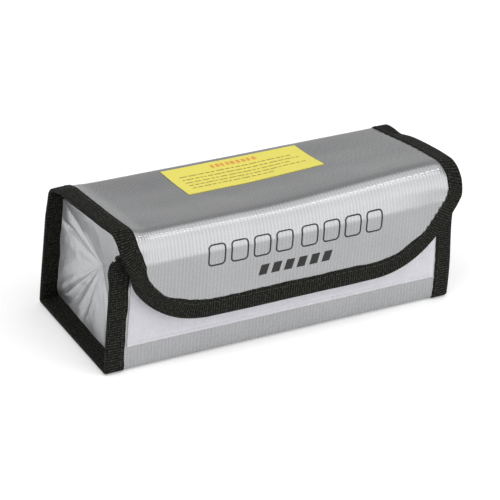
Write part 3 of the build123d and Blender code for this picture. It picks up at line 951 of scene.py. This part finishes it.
label_top = label_s[0]
heading = dashes(-12 * MM, 14 * MM, label_top + 3.2 * MM, label_top + 6.4 * MM, 1.5 * MM, 2.2 * MM, 1.0 * MM)
place(patches("label_heading", heading, LABEL_FACE, LABEL_PRINT), "lid", heading_look)
lines = []
for k, (x_low, x_high) in enumerate(((-31, 30), (-31, 31), (-31, 24), (-31, 31), (-31, 12))):
    top = label_top + (9.4 + 3.3 * k) * MM
    lines += dashes(x_low * MM, x_high * MM, top, top + 0.75 * MM, 1.0 * MM, 4.5 * MM, 0.8 * MM)
place(patches("label_lines", lines, LABEL_FACE, LABEL_PRINT), "lid", small_look)

# the flap's print: a row of outlined blocks, and slanted bars below it
BLOCK_Z, BAR_Z = 52.5 * MM, 39.5 * MM
print_s = S_END - (BLOCK_Z - FLAP_BOTTOM)
outlines = [
    rounded_block(x_at * MM, print_s, 8.2 * MM, 10.5 * MM, 1.8 * MM)
    for x_at in (-41, -29.5, -18, -6.5, 6.5, 18, 29.5, 41)
]
place(ribbons("flap_print_row", outlines, 0.01 * MM, 0.75 * MM, 0.05 * MM), "flap", outline_look)
bar_s = S_END - (BAR_Z - FLAP_BOTTOM)
bars = [
    (x_at * MM, (x_at + 4.2) * MM, bar_s - 2.6 * MM, bar_s + 2.6 * MM)
    for x_at in (-19, -12.4, -5.8, 0.8, 7.4, 14)
]
place(patches("flap_print_bars", bars, 0.0, 0.05 * MM, slant=-0.25), "flap", outline_look)


# -------- end gussets

POINT = np.array((5.5, 33.4)) * MM
PUSH = 7.9 * MM
BACK_DROP = 3.9 * MM
FRONT_DROP = 0.7 * MM
TOP_GAP = 5 * MM
GUSSET_RINGS = 36
HEM_RINGS = 9
RIM_STEPS = (2.4, 4.5, 6.4, 7.6)
CREASES = (
    # boundary y, boundary z, how far in, half-width, where it fades towards the point and the edge
    (36, 44, 1.4, 3.0, 1.0, 0.0), (36, 51, -0.2, 8, 0.8, 0.0), (24, 58, 0.5, 4, 0.9, 0.35),
    (33, 4, -1.8, 12, 0.9, 0.0),
    (25, 1, 1.0, 6, 1.0, 0.0), (12, 1, 1.5, 4.5, 1.0, 0.0), (-31, 30, 0.5, 5, 1.0, 0.35),
)


def gusset_ring(side):
    """The gusset's outline where it leaves the tape: around the tube, then along its free top edge."""
    s = spaced(FRONT_DROP, S_HINGE - BACK_DROP - 1.2 * MM, 1.3 * MM)
    rim = surf(side * (HALF - inner_leg(s)), s, -FLANGE_BAG)[:, 1:]
    peak = np.array([BROW_Y, BROW_FACE_Z + SETTLE - TOP_GAP])
    back = rim[-1] + (peak - rim[-1]) * spaced(0, 1, 1.3 / 62)[1:-1, None]
    front = peak + (rim[0] - peak) * spaced(0, 1, 0.25)[:-1, None]
    deeper = inner_leg(s) - INNER_LEG
    free = np.linspace(deeper[-1], deeper[0], len(back) + len(front))
    return s, np.concatenate([rim, back, front]), np.concatenate([deeper, free])


def gusset_sheet(side, lift, first=0.0, last=0.97, rings=GUSSET_RINGS, picked=slice(None)):
    """Points of the pushed-in cloth, lifted towards the inside, and their pattern coordinates."""
    _, ring, deeper = gusset_ring(side)
    length = np.linalg.norm(np.roll(ring, -1, axis=0) - ring, axis=1)
    run = np.concatenate([[0], np.cumsum(length)[:-1]])
    total = length.sum()
    t = np.linspace(first, last, rings)[:, None]
    inside = np.clip(t, 0, 1)
    plane = ring[None, picked] + (POINT - ring[None, picked]) * t[..., None]
    y, z = np.moveaxis(plane, -1, 0)
    depth = PUSH * inside ** 0.85 + deeper[None, picked] * (1 - inside)
    mirror = 0.0 if side < 0 else 3.0 * MM
    for crease_y, crease_z, push, width, near, far in CREASES:
        fade = smooth(inside, far - 0.02, far + 0.18) * (1 - inside / near).clip(0, 1) ** 0.5
        at = run[np.argmin(np.hypot(ring[:, 0] - crease_y * MM - mirror, ring[:, 1] - crease_z * MM))]
        gap = np.abs((run[picked] - at + total / 2) % total - total / 2)
        depth = depth + push * MM * np.clip(1 - gap / (width * MM), 0, 1) * fade
    angle = np.arctan2(z - POINT[1], y - POINT[0])
    pleats = 0.06 * MM * np.sin(11 * angle + side) * inside ** 2 * (1 - inside) ** 0.5
    crumple = 0.6 * MM * np.abs(ripple(y, z, 16 * MM, 20.0 + side))
    crumple += 0.30 * MM * np.abs(ripple(y, z, 6 * MM, 24.0 + side))
    depth = depth + pleats + (crumple - 0.3 * MM) * np.clip(t / 0.12, 0, 1)
    x = side * (GUSSET_X - depth - lift)
    return np.stack([x, y, z], axis=-1), np.stack([y, z, 0 * x], axis=-1)


def gusset_face(side, lift, first=0.0):
    """One side of the pushed-in cloth with its innermost point: points and pattern coordinates."""
    points, pattern = gusset_sheet(side, lift, first)
    tip = [side * (GUSSET_X - PUSH - 0.3 * MM - lift), *POINT]
    points = np.concatenate([points.reshape(-1, 3), [tip]])
    return points, np.concatenate([pattern.reshape(-1, 3), [[*POINT, 0]]])


def fan(start, count):
    """The faces of the gusset's rings, closed on the innermost point that comes after them."""
    faces = loft_faces(GUSSET_RINGS, count, close_columns=True, start=start)
    end = start + (GUSSET_RINGS - 1) * count
    return faces + [(end + k, end + (k + 1) % count, end + count) for k in range(count)]


def outwards(faces, side):
    """Faces that look out at either end."""
    return [face[::-1] for face in faces] if side < 0 else faces


def gusset_cloth(side, word):
    """The gusset: a rim held between lining and tape, and the crumpled, pushed-in face."""
    s, ring, deeper = gusset_ring(side)
    held = len(s)
    outer, pattern = gusset_face(side, 0.0)
    inner, _ = gusset_face(side, GUSSET)
    # the inner side of the first ring lies under the rim, against the lining
    inner[:held] = surf(side * (GUSSET_X - deeper[:held] - GUSSET), s, -FLANGE_LID)
    rims = [side * (HALF - u * MM) for u in RIM_STEPS]
    top = np.concatenate([*(surf(x, s, -FLANGE_BAG) for x in rims), outer])
    low = np.concatenate([*(surf(x, s, -FLANGE_LID) for x in rims), inner])
    rim_pattern = [
        np.stack([ring[:held, 0] + (8 - u) * MM, ring[:held, 1], 0 * s], axis=-1) for u in RIM_STEPS
    ]
    first = len(rims) * held
    faces = loft_faces(len(rims), held)
    faces += [(first - held + k, first - held + k + 1, first + k + 1, first + k) for k in range(held - 1)]
    faces = outwards(faces + fan(first, len(ring)), side)
    return shell(f"{word}_gusset_cloth", top, low, faces, np.concatenate([*rim_pattern, pattern]))


def gusset_backing(side, word):
    """The woven layer on the gusset's inside."""
    top, pattern = gusset_face(side, GUSSET + 0.05 * MM, first=0.03)
    low, _ = gusset_face(side, GUSSET + LINING, first=0.03)
    faces = outwards(fan(0, len(gusset_ring(side)[1])), side)
    return shell(f"{word}_gusset_backing", top, low, faces, pattern)


def gusset_hem(side, word):
    """The turned edge along the gusset's free top."""
    s, ring, _ = gusset_ring(side)
    free = np.arange(len(s) + 1, len(ring) - 1)
    outer, pattern = gusset_sheet(side, -0.4 * MM, -0.02, 0.16, HEM_RINGS, free)
    inner, _ = gusset_sheet(side, GUSSET + LINING + 0.35 * MM, -0.02, 0.16, HEM_RINGS, free)
    faces = outwards(loft_faces(HEM_RINGS, len(free)), side)
    return shell(f"{word}_gusset_top_hem", outer, inner, faces, pattern)


def gusset_cut(side, share, tuck):
    """The flat size and area of one layer: its pushed-in fan, and a rim of width tuck on three sides."""
    s, ring, _ = gusset_ring(side)
    ring = POINT + (ring - POINT) * share
    spokes = np.column_stack([np.full(len(ring), PUSH * share), ring - POINT])
    fan = np.linalg.norm(np.cross(spokes, np.roll(spokes, -1, axis=0)), axis=1).sum() / 2
    rim = tuck * np.linalg.norm(np.diff(ring[:len(s)], axis=0), axis=1).sum()
    across = np.ptp(ring, axis=0)
    flat = np.hypot(across, 2 * PUSH) + np.array([2, 1]) * tuck
    return tuple(flat), float(fan + rim)


for side, word in ((-1, "left"), (1, "right")):
    gusset_flat, gusset_area = gusset_cut(side, 1.0, INNER_LEG - 2.4 * MM)
    backing_flat, backing_area = gusset_cut(side, 0.97, 0.0)
    gusset = place(gusset_cloth(side, word), "bag", gusset_look, f"{word}_gusset")
    backing = place(gusset_backing(side, word), "bag", lining_look, f"{word}_gusset_lining")
    place(gusset_hem(side, word), "bag", gusset_look, f"{word}_gusset_hem")


# -------- stage, light and camera

def floor():
    """A plain pale floor."""
    half = 4.0
    corners = [(x, y, -0.4 * MM) for x, y in ((-half, -half), (half, -half), (half, half), (-half, half))]
    ground = make_object("floor", corners, [(0, 1, 2, 3)])
    material, m = new_look("floor_white")
    cloud = m.noise(m.node("ShaderNodeTexCoord").outputs["Object"], 0.4, 2.0)
    m.colour(cloud, (0.88, 0.88, 0.88), (0.90, 0.90, 0.90))
    m.set_to(Roughness=0.9, Specular_IOR_Level=0.1, Emission_Color=(1, 1, 1, 1), Emission_Strength=0.22)
    ground.data.materials.append(material)


def softbox(name, direction, distance, size, power, tall=None):
    """A soft rectangular light that faces the bag, square if no height is given."""
    lamp = bpy.data.lights.new(name, "AREA")
    lamp.shape = "RECTANGLE"
    lamp.size = size
    lamp.size_y = tall or size
    lamp.energy = power
    obj = linked(name, lamp)
    way = Vector(direction).normalized()
    obj.location = Vector((0, 0, 0.03)) + way * distance
    obj.rotation_euler = way.to_track_quat("Z", "Y").to_euler()


def world_light(level):
    """Even grey surroundings, darker overhead."""
    world = bpy.data.worlds.new("studio")
    bpy.context.scene.world = world
    sky = Look(world, "Background")
    split = sky.node("ShaderNodeSeparateXYZ", {0: sky.node("ShaderNodeTexCoord").outputs["Generated"]})
    sky.wire(sky.spread(split.outputs["Z"], 0.0, 0.8, level, 0.45 * level), "Color")
    sky.set_to(Strength=1.0)


def camera(azimuth, elevation, roll, distance, target, lens):
    """A camera placed by its angles round the target."""
    a, e, r = (math.radians(value) for value in (azimuth, elevation, roll))
    back = Vector((math.sin(a) * math.cos(e), -math.cos(a) * math.cos(e), math.sin(e)))
    right = Vector((math.cos(a), math.sin(a), 0))
    up = back.cross(right)
    right, up = math.cos(r) * right + math.sin(r) * up, -math.sin(r) * right + math.cos(r) * up
    data = bpy.data.cameras.new("camera")
    data.sensor_width = 36
    data.lens = lens
    data.clip_start, data.clip_end = 0.05, 20
    obj = linked("camera", data)
    turn = Matrix((right, up, back)).transposed().to_4x4()
    obj.matrix_world = Matrix.Translation(Vector(target) + back * distance) @ turn
    bpy.context.scene.camera = obj


floor()
world_light(0.69)
softbox("key", (0.455, -0.70, 0.56), distance=1.4, size=1.3, power=12.5, tall=2.0)
softbox("overhead", (0.4, 0.0, 1.0), distance=1.6, size=1.2, power=5.4)
softbox("left_fill", (-0.7, -0.2, 1.3), distance=1.3, size=0.9, power=7)
camera(
    azimuth=-31.42, elevation=29.16, roll=4.48, distance=1.056,
    target=(-0.0046, -0.0052, 0.0313), lens=163.7,
)
bpy.context.scene.view_settings.view_transform = "Standard"
